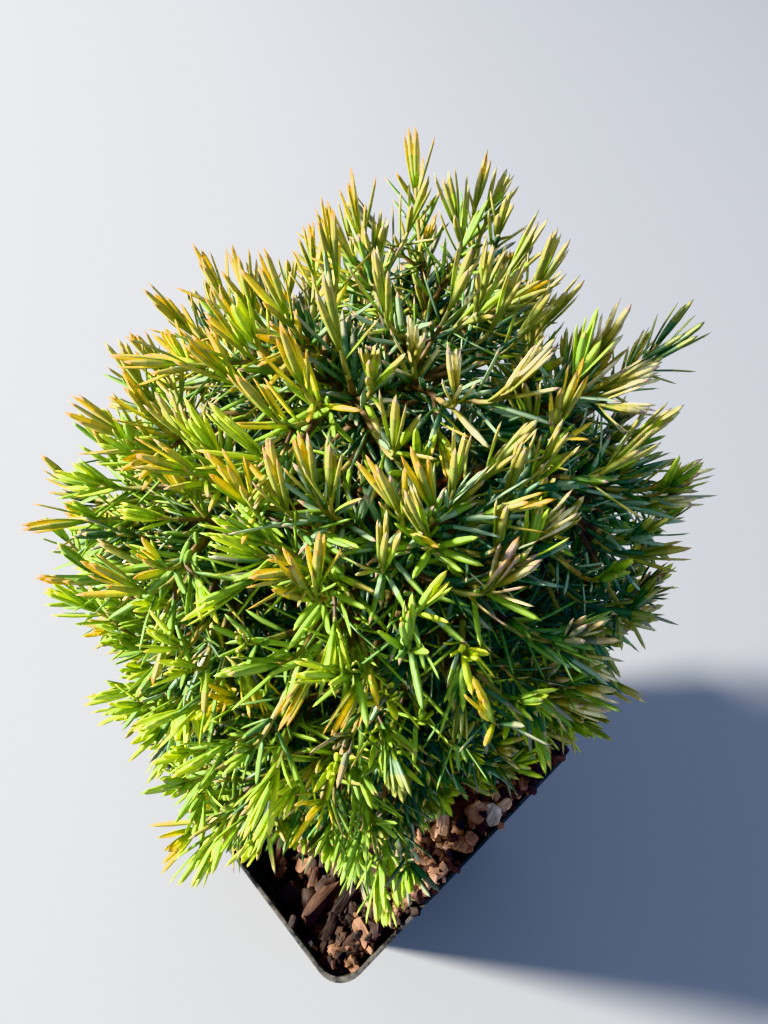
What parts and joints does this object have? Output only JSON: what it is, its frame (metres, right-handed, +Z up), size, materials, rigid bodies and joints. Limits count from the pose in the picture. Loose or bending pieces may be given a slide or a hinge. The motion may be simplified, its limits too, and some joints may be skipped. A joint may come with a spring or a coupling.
{
  "type": "potted teddy arborvitae",
  "caption": "Dwarf conifer with a dense, rounded crown of soft needles on a short stem, in a square black nursery pot filled with bark.",
  "frame": {"origin": "centre of the pot's flat underside, on the surface that it stands on", "axes": "+Z up, X and Y square to the pot's sides; the picture looks from the -X -Y corner"},
  "size_m": [0.1424, 0.1376, 0.2686],
  "materials": {
    "pot_plastic": "black moulded polypropylene, satin, slightly dusty",
    "bark_mix": "loose composted bark chips, dull brown",
    "stem_bark": "thin reddish brown bark, dull",
    "foliage_top": "soft needles, yellow green with bronze tips",
    "foliage_upper": "soft needles, yellow green with golden tips",
    "foliage_middle": "soft needles, mid green with yellow tips",
    "foliage_lower": "soft needles, bright green"
  },
  "bodies": {
    "root": {"bough_01": "stem_bark", "bough_02": "stem_bark", "bough_03": "stem_bark", "bough_04": "stem_bark", "bough_05": "stem_bark", "bough_06": "stem_bark", "bough_07": "stem_bark", "bough_08": "stem_bark", "bough_09": "stem_bark", "bough_10": "stem_bark", "bough_11": "stem_bark", "bough_12": "stem_bark", "bough_13": "stem_bark", "bough_14": "stem_bark", "bough_15": "stem_bark", "foliage_lower_1": "foliage_lower", "foliage_lower_2": "foliage_lower", "foliage_lower_3": "foliage_lower", "foliage_lower_4": "foliage_lower", "foliage_middle_1": "foliage_middle", "foliage_middle_2": "foliage_middle", "foliage_middle_3": "foliage_middle", "foliage_middle_4": "foliage_middle", "foliage_middle_5": "foliage_middle", "foliage_middle_6": "foliage_middle", "foliage_top": "foliage_top", "foliage_upper_1": "foliage_upper", "foliage_upper_2": "foliage_upper", "foliage_upper_3": "foliage_upper", "foliage_upper_4": "foliage_upper", "foliage_upper_5": "foliage_upper", "pot": "pot_plastic", "stem": "stem_bark", "substrate": "bark_mix"}
  },
  "joints": []
}
